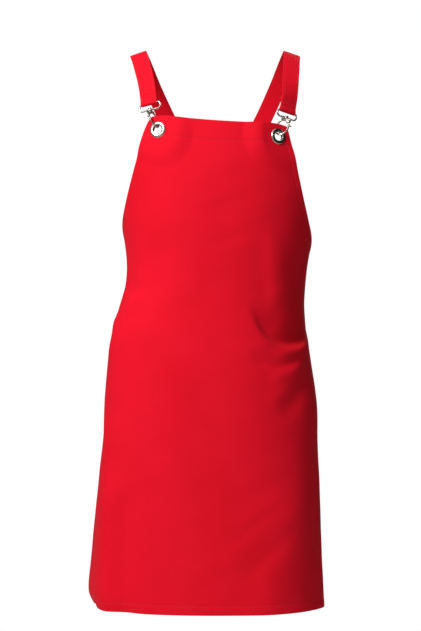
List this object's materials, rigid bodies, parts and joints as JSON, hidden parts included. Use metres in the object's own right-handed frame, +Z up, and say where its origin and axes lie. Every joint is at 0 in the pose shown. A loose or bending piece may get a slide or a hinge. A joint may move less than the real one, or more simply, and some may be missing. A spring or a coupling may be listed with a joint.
{
  "type": "cross-back apron",
  "caption": "Full-length bib apron in its worn form, with straps crossing at the back and hooked to the bib's corner eyelets by metal swivel clasps",
  "frame": {"origin": "midway between the tops of the two straps, where the apron hangs on the wearer's shoulders", "axes": "+Z up along the wearer's body, +Y from the bib to the back, +X to the wearer's left"},
  "size_m": [0.3845, 0.2445, 0.9035],
  "materials": {
    "cloth": "closely woven red twill, matt",
    "nickel": "bright nickel plate"
  },
  "bodies": {
    "apron": {"bib_panel": "cloth", "strap_left": "cloth", "strap_right": "cloth", "eyelet_left": "nickel", "eyelet_right": "nickel", "eyelet_washer_left": "nickel", "eyelet_washer_right": "nickel", "clasp_loop_left": "nickel", "clasp_loop_right": "nickel"},
    "claw_left": {"clasp_claw_left": "nickel", "clasp_rivet_left": "nickel"},
    "gate_left": {"clasp_gate_left": "nickel"},
    "claw_right": {"clasp_claw_right": "nickel", "clasp_rivet_right": "nickel"},
    "gate_right": {"clasp_gate_right": "nickel"}
  },
  "joints": [
    {"name": "swivel_left", "type": "hinge", "parent": "apron", "child": "claw_left", "pos_m": [0.10033, -0.10093, -0.14171], "axis": [0.3909, 0.3343, 0.8576], "range_deg": [-68, 2]},
    {"name": "gate_hinge_left", "type": "hinge", "parent": "claw_left", "child": "gate_left", "pos_m": [0.11504, -0.09518, -0.12093], "axis": [0.3598, 0.8021, -0.4767], "range_deg": [0, 15], "stiffness_Nm_per_rad": 0.02, "springref_deg": -17.19},
    {"name": "swivel_right", "type": "hinge", "parent": "apron", "child": "claw_right", "pos_m": [-0.09159, -0.10315, -0.13051], "axis": [-0.3456, 0.2937, 0.8912], "range_deg": [-10, 35]},
    {"name": "gate_hinge_right", "type": "hinge", "parent": "claw_right", "child": "gate_right", "pos_m": [-0.10345, -0.10034, -0.10742], "axis": [0.7645, -0.4626, 0.4489], "range_deg": [0, 18], "stiffness_Nm_per_rad": 0.02, "springref_deg": -17.19}
  ]
}
